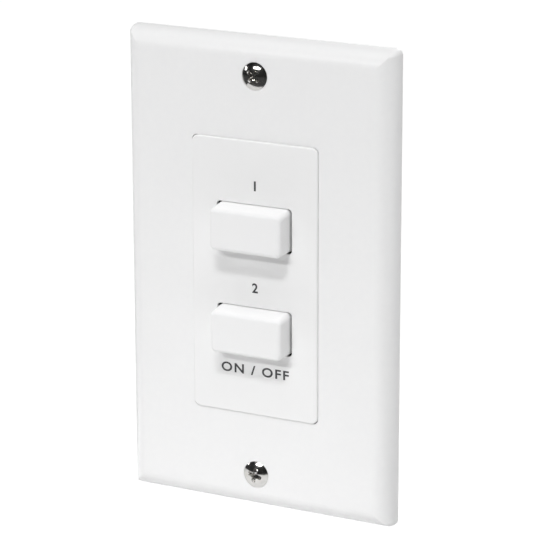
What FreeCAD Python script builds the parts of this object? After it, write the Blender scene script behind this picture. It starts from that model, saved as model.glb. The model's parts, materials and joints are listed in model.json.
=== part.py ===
"""Two-button speaker selector switch on a single-gang wall plate, one STEP file per piece.

Millimetres. The origin is the middle of the plate on the wall surface (y = 0): +X points right
as seen from the room, +Y into the wall, +Z up, so the buttons face -Y and are pressed along +Y.
"""

import math
import os

import FreeCAD
import Part

Vector = FreeCAD.Vector

# ---- wall plate ----
PLATE_WIDTH = 69.85
PLATE_HEIGHT = 114.3
PLATE_DEPTH = 5.5
PLATE_WALL = 2.0
PLATE_EDGE_WIDTH = 4.3  # the curved bevel that runs round the face
PLATE_CORNER_RADIUS = 1.6  # at the rim; the bevels run round it
PLATE_OPENING_GAP = 0.05  # all round the insert
PLATE_OPENING_RADIUS = 1.4
PLATE_COLLAR_WALL = 1.2
PLATE_RIB_THICKNESS = 1.2
PLATE_RIB_DEPTH = 1.6
PLATE_RIB_SPACING = 44.0
PLATE_BOSS_RADIUS = 4.6

# ---- plate screws: oval heads in countersunk holes ----
PLATE_SCREW_INSET = 8.75  # from each end of the plate, which puts the two screws 96.8 apart
PLATE_SCREW_RADIUS = 1.75
PLATE_SCREW_LENGTH = 12.7
SCREW_HEAD_RADIUS = 3.25
SCREW_HEAD_CONE = 1.7
SCREW_HEAD_DOME = 1.0
SCREW_HOLE_CLEARANCE = 0.3
COUNTERSINK_CLEARANCE = 0.1
CROSS_WIDTH = 0.95
CROSS_SPAN = 3.4
CROSS_DEPTH = 1.7
UPPER_SCREW_TURN = 40.0  # degrees; each cross stops at whatever angle its screw was tightened to
LOWER_SCREW_TURN = 14.0

# ---- mounting strap ----
STRAP_END_GAP = 2.75  # between each end of the strap and the plate's end wall
STRAP_END_WIDTH = 24.0
STRAP_PANEL_WIDTH = 40.0
STRAP_PANEL_HEIGHT = 74.0
STRAP_THICKNESS = 1.2
STRAP_CORNER_RADIUS = 2.5
STRAP_WINDOW_CLEARANCE = 0.6
BOX_SCREW_STEP = 6.75  # from each plate screw inwards, which puts the box screws 83.3 apart
BOX_SCREW_HOLE_RADIUS = 2.2
THREAD_CLEARANCE = 0.05

# ---- insert bezel ----
INSERT_WIDTH = 33.0
INSERT_HEIGHT = 66.5
INSERT_CORNER_RADIUS = 1.7
INSERT_PROUD = 0.45
INSERT_WALL = 2.0
INSERT_SIDE_WALL = 1.6
INSERT_EDGE_RADIUS = 0.42
WINDOW_WALL = 0.8  # the thinner face round each button window
WINDOW_CORNER_RADIUS = 0.9
POST_RADIUS = 2.9
POST_SPACING = 23.0
POST_GAP = 0.7

# ---- button caps ----
BUTTON_PITCH = 24.85
BUTTON_RISE = 0.35  # the pair of buttons sits this much above the middle of the plate
BUTTON_TRAVEL = 3.5
CAP_WIDTH = 18.9
CAP_HEIGHT = 10.45
CAP_PROUD = 4.95
CAP_SIDE_GAP = 0.4
CAP_TOP_GAP = 0.15
CAP_BOTTOM_GAP = 0.2
CAP_CORNER_RADIUS = 1.3
CAP_EDGE_RADIUS = 0.95
CAP_SIDE_DRAFT = 0.12
CAP_DRAFT = 0.26  # at the top and at the bottom
CAP_DROOP = 0.46  # the face sits this much lower than the neck
CAP_WALL = 1.2
CAP_ROOF = 1.05
LUG_WIDTH = 12.0  # the lugs above and below the cap that stop it in the window
LUG_HEIGHT = 1.05
LUG_THICKNESS = 1.0
SOCKET_DEPTH = 3.5
SOCKET_WALL = 1.25
SOCKET_RIB = 0.8
SEAT_GAP = 0.1  # between a moving piece and the stop it rests on
STOP_GAP = 0.3  # left at the end of the stroke
PRESS_CLEARANCE = 0.05

# ---- button guides: the dark sleeves behind the windows ----
GUIDE_WALL = 0.8
GUIDE_FLOOR = 1.0
GUIDE_CLEARANCE = 0.3  # round the cap, its lugs and the spring
GUIDE_SEAT_CLEARANCE = 0.1

# ---- push-push switches ----
STEM_SIZE = 3.6
COLLAR_RADIUS = 3.6
COLLAR_THICKNESS = 0.8
SPRING_LENGTH = 7.5
SPRING_RADIUS = 3.05
SPRING_WIRE = 0.5
SPRING_TURNS = 5.5
SPRING_END_GAP = 0.02
STEM_CLEARANCE = 0.15
HOUSING_FRONT_WALL = 2.0
HOUSING_WALL = 1.5
LATCH_WALL = 3.3  # the thick side wall that holds the latch pin
HOUSING_EDGE_RADIUS = 0.4
SLIDER_WIDTH = 7.0
SLIDER_HEIGHT = 6.0
SLIDER_LENGTH = 7.0
SLIDER_CLEARANCE = 0.2
CONTACT_SPACE = 1.5
BASE_THICKNESS = 1.2

# ---- heart cam and latch pin ----
PIN_RADIUS = 0.35
PIN_LEG = 1.8
PIN_PIVOT_INSET = 1.0
PIN_RUNNING_CLEARANCE = 0.05
PIN_SIDE_GAP = 0.35
CAM_DEPTH = 0.9
CAM_CLEARANCE = 0.3
CAM_SWING = 1.1
CAM_END_MARGIN = 1.1
LATCH_DEPTH = 1.0  # how far the held button comes back from its full stroke
POCKET_CLEARANCE = 0.6
CLIP_THICKNESS = 0.3
CLIP_TONGUE_HALF = 0.7
CLIP_TONGUE_GAP = 0.1
CLIP_LEG = 3.0

# ---- contacts ----
BLADE_THICKNESS = 0.4
BLADE_WIDTH = 2.1
BLADE_GAP = 1.0
BLADE_FRONT_INSET = 1.5
LEAF_THICKNESS = 0.25
LEAF_ROOT = 1.6
LEAF_FINGER = 2.2
LEAF_TIP = 0.9
LEAF_INSET = 0.9
CONTACT_GAP = 0.15
MAKE_TRAVEL = 2.0
TAIL_WIDTH = 0.9
TAIL_PROUD = 1.2
TAIL_CLEARANCE = 0.05

# ---- circuit board and small screws ----
BOARD_THICKNESS = 1.6
BOARD_SIDE_MARGIN = 5.5
BOARD_END_MARGIN = 4.5
BOARD_CORNER_RADIUS = 1.5
BOARD_HOLE_CLEARANCE = 0.2
SMALL_SCREW_RADIUS = 1.15
SMALL_SCREW_LENGTH = 7.0
SMALL_HEAD_RADIUS = 2.3
SMALL_HEAD_HEIGHT = 1.5
SMALL_HEAD_EDGE = 0.6
SMALL_CROSS_WIDTH = 0.6
SMALL_CROSS_SPAN = 2.3
SMALL_CROSS_DEPTH = 0.9
SMALL_CROSS_TURN = 30.0
SMALL_HEAD_GAP = 0.3
STRAP_SCREW_SPACING = 20.0
STRAP_SCREW_GRIP = 2.2
STRAP_BOSS_RADIUS = 2.0

# ---- screw terminal blocks ----
TERMINAL_WAYS = 4
TERMINAL_PITCH = 5.08
TERMINAL_END_WALL = 0.4
TERMINAL_DEPTH = 8.5
TERMINAL_HEIGHT = 10.0
TERMINAL_SHOULDER = 3.6
TERMINAL_NOSE = 1.1
TERMINAL_BACK_STEP = 1.6
TERMINAL_GAP = 0.3
TERMINAL_FLOOR = 0.7
TERMINAL_BACK_WALL = 1.4
TERMINAL_MOUTH_WALL = 1.0
CHAMBER_WIDTH = 4.2
MOUTH_WIDTH = 3.8
MOUTH_HEIGHT = 3.6
CAGE_HEIGHT = 4.9
CAGE_WALL = 0.5
CAGE_TOP_WALL = 0.9
CAGE_CLEARANCE = 0.15
STRIP_THICKNESS = 0.6
STRIP_WIDTH = 2.0
PIN_TAIL_WIDTH = 0.9
WELL_RADIUS = 2.0
CLAMP_HEAD_RADIUS = 1.8
CLAMP_HEAD_HEIGHT = 1.8
CLAMP_HEAD_DEPTH = 0.8
CLAMP_SCREW_RADIUS = 1.25
CLAMP_SCREW_REACH = 0.9
CLAMP_SLOT_WIDTH = 0.6
CLAMP_SLOT_DEPTH = 0.9
PAIR_BLOCK_TURN = 180.0  # degrees: the two blocks for the speaker pairs face the other way

# ---- depths along y that follow from the sizes above ----
PLATE_FACE_Y = -PLATE_DEPTH
STRAP_FRONT_Y = -STRAP_THICKNESS
INSERT_FACE_Y = PLATE_FACE_Y - INSERT_PROUD
INSERT_BACK_Y = INSERT_FACE_Y + INSERT_WALL
WINDOW_BACK_Y = INSERT_FACE_Y + WINDOW_WALL
CAP_FACE_Y = INSERT_FACE_Y - CAP_PROUD
LUG_FRONT_Y = WINDOW_BACK_Y + SEAT_GAP
CAP_REAR_Y = LUG_FRONT_Y + LUG_THICKNESS
CAP_ROOF_Y = CAP_FACE_Y + CAP_ROOF
SOCKET_END_Y = CAP_ROOF_Y + SOCKET_DEPTH
SPRING_FRONT_Y = SOCKET_END_Y + COLLAR_THICKNESS
HOUSING_FRONT_Y = SPRING_FRONT_Y + SPRING_LENGTH
GUIDE_FLOOR_Y = HOUSING_FRONT_Y - GUIDE_FLOOR
CAVITY_FRONT_Y = HOUSING_FRONT_Y + HOUSING_FRONT_WALL
SLIDER_FRONT_Y = CAVITY_FRONT_Y + SEAT_GAP
SLIDER_REAR_Y = SLIDER_FRONT_Y + SLIDER_LENGTH
BASE_FRONT_Y = SLIDER_REAR_Y + BUTTON_TRAVEL + STOP_GAP
BOARD_FRONT_Y = BASE_FRONT_Y + BASE_THICKNESS
BOARD_REAR_Y = BOARD_FRONT_Y + BOARD_THICKNESS
PIVOT_Y = HOUSING_FRONT_Y + PIN_PIVOT_INSET
PIN_TIP_Y = SLIDER_REAR_Y - CAM_END_MARGIN

# ---- widths and heights that follow from the sizes above ----
PLATE_SCREW_Z = PLATE_HEIGHT / 2 - PLATE_SCREW_INSET
BOX_SCREW_Z = PLATE_SCREW_Z - BOX_SCREW_STEP
STRAP_HALF_LENGTH = PLATE_HEIGHT / 2 - PLATE_WALL - STRAP_END_GAP
BUTTON_ROWS = {"upper": BUTTON_RISE + BUTTON_PITCH / 2, "lower": BUTTON_RISE - BUTTON_PITCH / 2}
LUG_HALF_HEIGHT = CAP_HEIGHT / 2 + LUG_HEIGHT
GUIDE_HALF_WIDTH = CAP_WIDTH / 2 + CAP_SIDE_GAP + GUIDE_CLEARANCE
GUIDE_HALF_HEIGHT = LUG_HALF_HEIGHT + GUIDE_CLEARANCE
TERMINAL_LENGTH = TERMINAL_WAYS * TERMINAL_PITCH + 2 * TERMINAL_END_WALL
POST_X = POST_SPACING / 2
POST_Z = max(
    BUTTON_RISE + BUTTON_PITCH / 2 + GUIDE_HALF_HEIGHT + GUIDE_WALL + POST_GAP + POST_RADIUS,
    TERMINAL_GAP / 2 + TERMINAL_LENGTH + SMALL_HEAD_GAP + SMALL_HEAD_RADIUS,
)
BOARD_HALF_WIDTH = POST_X + BOARD_SIDE_MARGIN
BOARD_HALF_HEIGHT = POST_Z + BOARD_END_MARGIN
STRAP_WINDOW_HALF_WIDTH = POST_X + POST_RADIUS + STRAP_WINDOW_CLEARANCE
STRAP_WINDOW_HALF_HEIGHT = POST_Z + POST_RADIUS + STRAP_WINDOW_CLEARANCE
STRAP_SCREW_X = STRAP_SCREW_SPACING / 2
STRAP_SCREW_Z = (STRAP_WINDOW_HALF_HEIGHT + INSERT_HEIGHT / 2 - INSERT_SIDE_WALL) / 2
CAVITY_HALF_WIDTH = SLIDER_WIDTH / 2 + SLIDER_CLEARANCE
CAVITY_HALF_HEIGHT = SLIDER_HEIGHT / 2 + CONTACT_SPACE
HOUSING_LEFT_X = -CAVITY_HALF_WIDTH - HOUSING_WALL
HOUSING_RIGHT_X = CAVITY_HALF_WIDTH + LATCH_WALL
HOUSING_HALF_HEIGHT = CAVITY_HALF_HEIGHT + HOUSING_WALL
PIN_X = CAVITY_HALF_WIDTH + PIN_SIDE_GAP + PIN_RADIUS
BLADE_Z = CAVITY_HALF_HEIGHT - BLADE_THICKNESS
TERMINAL_X = BOARD_HALF_WIDTH - TERMINAL_DEPTH / 2
TERMINAL_Z = (TERMINAL_GAP + TERMINAL_LENGTH) / 2

TERMINAL_BLOCKS = {
    "input": (TERMINAL_X, 0.0, 0.0),
    "first_pair": (-TERMINAL_X, TERMINAL_Z, PAIR_BLOCK_TURN),
    "second_pair": (-TERMINAL_X, -TERMINAL_Z, PAIR_BLOCK_TURN),
}


# ---- plain shapes ----
def box(x0, x1, y0, y1, z0, z1):
    return Part.makeBox(x1 - x0, y1 - y0, z1 - z0, Vector(x0, y0, z0))


def centred_box(half_x, y0, y1, half_z, x=0.0, z=0.0):
    return box(x - half_x, x + half_x, y0, y1, z - half_z, z + half_z)


def rod_y(radius, y0, y1, x=0.0, z=0.0):
    return Part.makeCylinder(radius, y1 - y0, Vector(x, y0, z), Vector(0, 1, 0))


def rod_x(radius, x0, x1, y, z=0.0):
    return Part.makeCylinder(radius, x1 - x0, Vector(x0, y, z), Vector(1, 0, 0))


def rounded_outline(x0, x1, z0, z1, radius, y):
    """A rectangle with round corners, as a wire at depth y."""
    diagonal = radius * math.sqrt(0.5)
    corners = (
        (x1 - radius, z1 - radius, 1, 1),
        (x0 + radius, z1 - radius, -1, 1),
        (x0 + radius, z0 + radius, -1, -1),
        (x1 - radius, z0 + radius, 1, -1),
    )
    arcs = []
    for cx, cz, sx, sz in corners:
        along_x = Vector(cx + sx * radius, y, cz)
        along_z = Vector(cx, y, cz + sz * radius)
        middle = Vector(cx + sx * diagonal, y, cz + sz * diagonal)
        ends = (along_x, along_z) if sx == sz else (along_z, along_x)
        arcs.append((ends[0], middle, ends[1]))
    edges = []
    for index, (start, middle, end) in enumerate(arcs):
        edges.append(Part.Arc(start, middle, end).toShape())
        edges.append(Part.makeLine(end, arcs[(index + 1) % len(arcs)][0]))
    return Part.Wire(edges)


def rounded_block(half_x, half_z, radius, y0, y1, x=0.0, z=0.0):
    wire = rounded_outline(x - half_x, x + half_x, z - half_z, z + half_z, radius, y0)
    return Part.Face(wire).extrude(Vector(0, y1 - y0, 0))


def prism_z(points, z0, z1):
    """A polygon of (x, y) points, extruded from z0 to z1."""
    wire = Part.makePolygon([Vector(x, y, z0) for x, y in (*points, points[0])])
    return Part.Face(wire).extrude(Vector(0, 0, z1 - z0))


def prism_x(points, x0, x1):
    """A polygon of (y, z) points, extruded from x0 to x1."""
    wire = Part.makePolygon([Vector(x0, y, z) for y, z in (*points, points[0])])
    return Part.Face(wire).extrude(Vector(x1 - x0, 0, 0))


def fuse(*pieces):
    return pieces[0].fuse(list(pieces[1:])).removeSplitter()


def moved(shape, x=0.0, z=0.0):
    copy = shape.copy()
    copy.translate(Vector(x, 0, z))
    return copy


def signs():
    return [(sx, sz) for sx in (-1, 1) for sz in (-1, 1)]


def edges_at_depth(shape, y, tolerance=1e-4):
    """The edges that lie wholly in the plane at depth y."""
    return [
        edge
        for edge in shape.Edges
        if abs(edge.BoundBox.YMin - y) < tolerance and abs(edge.BoundBox.YMax - y) < tolerance
    ]


def cross_recess(width, span, depth, face_y, turn):
    """Two crossed wedges that narrow towards the bottom, for a cross-head driver."""
    half, tip = span / 2, width / 2
    profile = [(-half, face_y), (half, face_y), (tip, face_y + depth), (-tip, face_y + depth)]
    blade = prism_z(profile, -width / 2, width / 2)
    other = blade.copy()
    other.rotate(Vector(), Vector(0, 1, 0), 90)
    recess = fuse(blade, other)
    recess.rotate(Vector(), Vector(0, 1, 0), turn)
    return recess


# ---- wall plate, its screws and the strap ----
def bevel_curve(reach, depth, edge_width, place):
    """The curved bevel from the rim at (reach, 0) to the face at (reach - edge_width, -depth)."""
    pull = 4 / 3 * (math.sqrt(2) - 1)  # makes a cubic curve follow a quarter of an ellipse
    curve = Part.BezierCurve()
    curve.setPoles(
        [
            place(reach, 0.0),
            place(reach, -pull * depth),
            place(reach - edge_width * (1 - pull), -depth),
            place(reach - edge_width, -depth),
        ]
    )
    return curve.toShape()


def pillow(half_width, half_height, depth, edge_width):
    """A block from y = -depth to 0 whose four sides curve in towards the face, with mitred corners."""

    def slab(half, length, place):
        """One pair of curved sides, extruded along the other direction."""
        face_half = half - edge_width
        outline = [
            bevel_curve(half, depth, edge_width, place),
            Part.makeLine(place(face_half, -depth), place(-face_half, -depth)),
            bevel_curve(half, depth, edge_width, lambda a, y: place(-a, y)),
            Part.makeLine(place(-half, 0.0), place(half, 0.0)),
        ]
        return Part.Face(Part.Wire(outline)).extrude(length)

    across = slab(
        half_width, Vector(0, 0, 2 * half_height), lambda a, y: Vector(a, y, -half_height)
    )
    upright = slab(
        half_height, Vector(2 * half_width, 0, 0), lambda a, y: Vector(-half_width, y, a)
    )
    return across.common(upright)


def with_round_rim(block, half_width, half_height, depth, edge_width, radius):
    """The pillow block with the corners of its rim rounded, the same bevel running round them."""
    profile = Part.Wire(
        [
            bevel_curve(radius, depth, edge_width, lambda a, y: Vector(a, y, 0)),
            Part.makeLine(Vector(radius - edge_width, -depth, 0), Vector(-edge_width, -depth, 0)),
            Part.makeLine(Vector(-edge_width, -depth, 0), Vector(-edge_width, 0, 0)),
            Part.makeLine(Vector(-edge_width, 0, 0), Vector(radius, 0, 0)),
        ]
    )
    outside = Part.makePlane(radius, depth, Vector(0, -depth, 0), Vector(0, 0, 1))
    half_section = Part.Face(profile).common(outside)
    turned = half_section.revolve(Vector(), Vector(0, 1, 0), 360).Solids[0]
    for sx, sz in signs():
        x, z = sx * (half_width - radius), sz * (half_height - radius)
        corner = centred_box(radius / 2, -depth, 0, radius / 2, x + sx * radius / 2, z + sz * radius / 2)
        block = block.cut(corner).fuse(moved(turned, x, z).common(corner))
    return block.removeSplitter()


def wall_plate():
    half_width, half_height = PLATE_WIDTH / 2, PLATE_HEIGHT / 2
    outer_size = (half_width, half_height, PLATE_DEPTH, PLATE_EDGE_WIDTH)
    shell = with_round_rim(pillow(*outer_size), *outer_size, PLATE_CORNER_RADIUS)
    hollow = pillow(
        half_width - PLATE_WALL,
        half_height - PLATE_WALL,
        PLATE_DEPTH - PLATE_WALL,
        PLATE_EDGE_WIDTH - PLATE_WALL,
    )
    inner_y = PLATE_FACE_Y + PLATE_WALL
    opening_x = INSERT_WIDTH / 2 + PLATE_OPENING_GAP
    opening_z = INSERT_HEIGHT / 2 + PLATE_OPENING_GAP
    stiffeners = [
        rounded_block(
            opening_x + PLATE_COLLAR_WALL,
            opening_z + PLATE_COLLAR_WALL,
            PLATE_OPENING_RADIUS + PLATE_COLLAR_WALL,
            inner_y,
            inner_y + PLATE_RIB_DEPTH,
        )
    ]
    for side in (-1, 1):
        z = side * PLATE_RIB_SPACING / 2
        rib_end = inner_y + PLATE_RIB_DEPTH
        stiffeners.append(centred_box(half_width, inner_y, rib_end, PLATE_RIB_THICKNESS / 2, z=z))
        boss = rod_y(PLATE_BOSS_RADIUS, inner_y, STRAP_FRONT_Y, z=side * PLATE_SCREW_Z)
        stiffeners.append(boss)
    plate = fuse(shell.cut(hollow), *[piece.common(shell) for piece in stiffeners])
    through = PLATE_DEPTH + STRAP_THICKNESS
    plate = plate.cut(
        rounded_block(opening_x, opening_z, PLATE_OPENING_RADIUS, -through, through)
    )
    for side in (-1, 1):
        plate = plate.cut(screw_clearance(side * PLATE_SCREW_Z))
    return plate


def screw_clearance(z):
    """The countersunk hole that an oval-head plate screw sits in."""
    top_radius = SCREW_HEAD_RADIUS + COUNTERSINK_CLEARANCE
    hole_radius = PLATE_SCREW_RADIUS + SCREW_HOLE_CLEARANCE
    cone = Part.makeCone(
        top_radius, hole_radius, SCREW_HEAD_CONE, Vector(0, PLATE_FACE_Y, z), Vector(0, 1, 0)
    )
    return cone.fuse(rod_y(hole_radius, PLATE_FACE_Y, 0, z=z))


def plate_screw(turn):
    """One oval-head screw along the y axis through the origin, with its head at the plate's face."""
    face = PLATE_FACE_Y
    cone = Part.makeCone(
        SCREW_HEAD_RADIUS, PLATE_SCREW_RADIUS, SCREW_HEAD_CONE, Vector(0, face, 0), Vector(0, 1, 0)
    )
    sphere_radius = (SCREW_HEAD_RADIUS**2 + SCREW_HEAD_DOME**2) / (2 * SCREW_HEAD_DOME)
    sphere = Part.makeSphere(sphere_radius, Vector(0, face - SCREW_HEAD_DOME + sphere_radius, 0))
    dome = sphere.common(rod_y(SCREW_HEAD_RADIUS, face - SCREW_HEAD_DOME, face))
    shank = rod_y(PLATE_SCREW_RADIUS, face, face + PLATE_SCREW_LENGTH)
    recess = cross_recess(CROSS_WIDTH, CROSS_SPAN, CROSS_DEPTH, face - SCREW_HEAD_DOME, turn)
    return fuse(cone, dome, shank).cut(recess)


def plate_screws():
    upper = moved(plate_screw(UPPER_SCREW_TURN), z=PLATE_SCREW_Z)
    lower = moved(plate_screw(LOWER_SCREW_TURN), z=-PLATE_SCREW_Z)
    return [upper, lower]


def mounting_strap():
    panel = rounded_block(
        STRAP_PANEL_WIDTH / 2, STRAP_PANEL_HEIGHT / 2, STRAP_CORNER_RADIUS, STRAP_FRONT_Y, 0
    )
    ends = rounded_block(
        STRAP_END_WIDTH / 2, STRAP_HALF_LENGTH, STRAP_CORNER_RADIUS, STRAP_FRONT_Y, 0
    )
    window = rounded_block(
        STRAP_WINDOW_HALF_WIDTH, STRAP_WINDOW_HALF_HEIGHT, STRAP_CORNER_RADIUS, STRAP_FRONT_Y, 0
    )
    strap = fuse(panel, ends).cut(window)
    for side in (-1, 1):
        box_screw = rod_y(BOX_SCREW_HOLE_RADIUS, STRAP_FRONT_Y, 0, z=side * BOX_SCREW_Z)
        tapped = PLATE_SCREW_RADIUS + THREAD_CLEARANCE
        plate_hole = rod_y(tapped, STRAP_FRONT_Y, 0, z=side * PLATE_SCREW_Z)
        strap = strap.cut([box_screw, plate_hole])
    for sx, sz in signs():
        hole = SMALL_SCREW_RADIUS + BOARD_HOLE_CLEARANCE
        strap = strap.cut(rod_y(hole, STRAP_FRONT_Y, 0, sx * STRAP_SCREW_X, sz * STRAP_SCREW_Z))
    return strap


# ---- insert bezel ----
def insert_bezel():
    half_x, half_z = INSERT_WIDTH / 2, INSERT_HEIGHT / 2
    body = rounded_block(half_x, half_z, INSERT_CORNER_RADIUS, INSERT_FACE_Y, STRAP_FRONT_Y)
    body = body.makeFillet(INSERT_EDGE_RADIUS, edges_at_depth(body, INSERT_FACE_Y))
    inside = centred_box(
        half_x - INSERT_SIDE_WALL, INSERT_BACK_Y, STRAP_FRONT_Y, half_z - INSERT_SIDE_WALL
    )
    pieces = [body.cut(inside)]
    for sx, sz in signs():
        pieces.append(
            rod_y(POST_RADIUS, INSERT_BACK_Y, BOARD_FRONT_Y, sx * POST_X, sz * POST_Z)
        )
        boss_x, boss_z = sx * STRAP_SCREW_X, sz * STRAP_SCREW_Z
        pieces.append(rod_y(STRAP_BOSS_RADIUS, INSERT_BACK_Y, STRAP_FRONT_Y, boss_x, boss_z))
    bezel = fuse(*pieces)
    for z in BUTTON_ROWS.values():
        seat = centred_box(
            GUIDE_HALF_WIDTH + GUIDE_WALL + GUIDE_SEAT_CLEARANCE,
            WINDOW_BACK_Y,
            INSERT_BACK_Y,
            GUIDE_HALF_HEIGHT + GUIDE_WALL + GUIDE_SEAT_CLEARANCE,
            z=z,
        )
        window = rounded_block(
            CAP_WIDTH / 2 + CAP_SIDE_GAP,
            (CAP_TOP_GAP + CAP_HEIGHT + CAP_BOTTOM_GAP) / 2,
            WINDOW_CORNER_RADIUS,
            INSERT_FACE_Y,
            WINDOW_BACK_Y,
            z=z + (CAP_TOP_GAP - CAP_BOTTOM_GAP) / 2,
        )
        bezel = bezel.cut([seat, window])
    pilot = SMALL_SCREW_RADIUS + THREAD_CLEARANCE
    for sx, sz in signs():
        post_hole_front = BOARD_REAR_Y - SMALL_SCREW_LENGTH - STOP_GAP
        post_hole = rod_y(pilot, post_hole_front, BOARD_FRONT_Y, sx * POST_X, sz * POST_Z)
        boss_front = STRAP_FRONT_Y - STRAP_SCREW_GRIP - STOP_GAP
        boss_x, boss_z = sx * STRAP_SCREW_X, sz * STRAP_SCREW_Z
        boss_hole = rod_y(pilot, boss_front, STRAP_FRONT_Y, boss_x, boss_z)
        bezel = bezel.cut([post_hole, boss_hole])
    return bezel


# ---- button cap and its guide ----
def button_cap():
    half_x, half_z = CAP_WIDTH / 2, CAP_HEIGHT / 2
    neck = rounded_block(half_x, half_z, CAP_CORNER_RADIUS, INSERT_FACE_Y, CAP_REAR_Y)
    root = rounded_outline(-half_x, half_x, -half_z, half_z, CAP_CORNER_RADIUS, INSERT_FACE_Y)
    front = rounded_outline(
        -half_x + CAP_SIDE_DRAFT,
        half_x - CAP_SIDE_DRAFT,
        -half_z + CAP_DRAFT - CAP_DROOP,
        half_z - CAP_DRAFT - CAP_DROOP,
        CAP_CORNER_RADIUS,
        CAP_FACE_Y,
    )
    head = Part.makeLoft([root, front], True, True)
    head = head.makeFillet(CAP_EDGE_RADIUS, edges_at_depth(head, CAP_FACE_Y))
    lugs = centred_box(LUG_WIDTH / 2, LUG_FRONT_Y, CAP_REAR_Y, LUG_HALF_HEIGHT)
    inside_x, inside_z = half_x - CAP_WALL, half_z - CAP_WALL
    hollow = centred_box(inside_x, CAP_ROOF_Y, CAP_REAR_Y, inside_z)
    socket_half = STEM_SIZE / 2 + PRESS_CLEARANCE + SOCKET_WALL
    socket = centred_box(socket_half, CAP_ROOF_Y, SOCKET_END_Y, socket_half)
    web = centred_box(inside_x, CAP_ROOF_Y, SOCKET_END_Y, SOCKET_RIB / 2)
    shell = fuse(head, neck, lugs).cut(hollow)
    grip = STEM_SIZE / 2 + PRESS_CLEARANCE
    socket_hole = centred_box(grip, CAP_ROOF_Y, SOCKET_END_Y, grip)
    return fuse(shell, socket, web).cut(socket_hole)


def button_guide():
    """A sleeve that the cap and its lugs run in, between the insert and the switch."""
    outer = centred_box(
        GUIDE_HALF_WIDTH + GUIDE_WALL, WINDOW_BACK_Y, HOUSING_FRONT_Y, GUIDE_HALF_HEIGHT + GUIDE_WALL
    )
    well = centred_box(GUIDE_HALF_WIDTH, WINDOW_BACK_Y, GUIDE_FLOOR_Y, GUIDE_HALF_HEIGHT)
    spring_radius = SPRING_RADIUS + SPRING_WIRE / 2 + GUIDE_CLEARANCE
    return outer.cut([well, rod_y(spring_radius, GUIDE_FLOOR_Y, HOUSING_FRONT_Y)])


# ---- push-push switch ----
def cam_track():
    """The heart-shaped groove: out along one lane, back to the notch, home along the other."""
    home = (PIN_TIP_Y, 0.0)
    full = PIN_TIP_Y - BUTTON_TRAVEL
    notch = (full + LATCH_DEPTH, 0.0)
    stops = [home, (full, CAM_SWING), notch, (full, -CAM_SWING)]
    half = PIN_RADIUS + CAM_CLEARANCE
    floor, face = SLIDER_WIDTH / 2 - CAM_DEPTH, SLIDER_WIDTH / 2
    lanes = []
    for index, (y, z) in enumerate(stops):
        next_y, next_z = stops[(index + 1) % len(stops)]
        length = math.hypot(next_y - y, next_z - z)
        side_y, side_z = -(next_z - z) / length * half, (next_y - y) / length * half
        corners = [
            (y + side_y, z + side_z),
            (next_y + side_y, next_z + side_z),
            (next_y - side_y, next_z - side_z),
            (y - side_y, z - side_z),
        ]
        lanes.append(prism_x(corners, floor, face))
        lanes.append(rod_x(half, floor, face, y, z))
    return fuse(*lanes)


def switch_slider():
    """The plunger: a stem that the cap presses on, a collar for the spring, and the cam block."""
    stem = centred_box(STEM_SIZE / 2, CAP_ROOF_Y, SLIDER_FRONT_Y, STEM_SIZE / 2)
    collar = rod_y(COLLAR_RADIUS, SOCKET_END_Y, SPRING_FRONT_Y)
    block = centred_box(SLIDER_WIDTH / 2, SLIDER_FRONT_Y, SLIDER_REAR_Y, SLIDER_HEIGHT / 2)
    return fuse(stem, collar, block).cut(cam_track())


def switch_housing():
    outer = box(
        HOUSING_LEFT_X,
        HOUSING_RIGHT_X,
        HOUSING_FRONT_Y,
        BASE_FRONT_Y,
        -HOUSING_HALF_HEIGHT,
        HOUSING_HALF_HEIGHT,
    )
    outer = outer.makeFillet(HOUSING_EDGE_RADIUS, edges_at_depth(outer, HOUSING_FRONT_Y))
    cavity = centred_box(CAVITY_HALF_WIDTH, CAVITY_FRONT_Y, BASE_FRONT_Y, CAVITY_HALF_HEIGHT)
    stem_half = STEM_SIZE / 2 + STEM_CLEARANCE
    stem_hole = centred_box(stem_half, HOUSING_FRONT_Y, CAVITY_FRONT_Y, stem_half)
    return outer.cut([cavity, stem_hole, latch_pocket(), pivot_hole()])


def latch_pocket():
    """The opening in the thick side wall in which the latch pin swings."""
    half_z = CAM_SWING + PIN_RADIUS + POCKET_CLEARANCE
    front = PIVOT_Y - PIN_RADIUS - POCKET_CLEARANCE / 2
    rear = PIN_TIP_Y + PIN_RADIUS + POCKET_CLEARANCE
    shallow = box(
        PIN_X - PIN_RADIUS - PIN_SIDE_GAP / 2, HOUSING_RIGHT_X, front, rear, -half_z, half_z
    )
    deep = box(CAVITY_HALF_WIDTH, HOUSING_RIGHT_X, CAVITY_FRONT_Y, rear, -half_z, half_z)
    return shallow.fuse(deep)


def pivot_hole():
    radius = PIN_RADIUS + PIN_RUNNING_CLEARANCE
    return rod_x(radius, PIN_X - PIN_LEG - PIN_SIDE_GAP / 2, PIN_X, PIVOT_Y)


def latch_pin():
    """A staple of hard wire: one leg turns in the housing, the other runs in the cam track."""
    tip_x = SLIDER_WIDTH / 2 - CAM_DEPTH + CAM_CLEARANCE
    arm = rod_y(PIN_RADIUS, PIVOT_Y, PIN_TIP_Y, x=PIN_X)
    pivot_leg = rod_x(PIN_RADIUS, PIN_X - PIN_LEG, PIN_X, PIVOT_Y)
    tip_leg = rod_x(PIN_RADIUS, tip_x, PIN_X, PIN_TIP_Y)
    bends = [Part.makeSphere(PIN_RADIUS, Vector(PIN_X, y, 0)) for y in (PIVOT_Y, PIN_TIP_Y)]
    return fuse(arm, pivot_leg, tip_leg, *bends)


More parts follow.
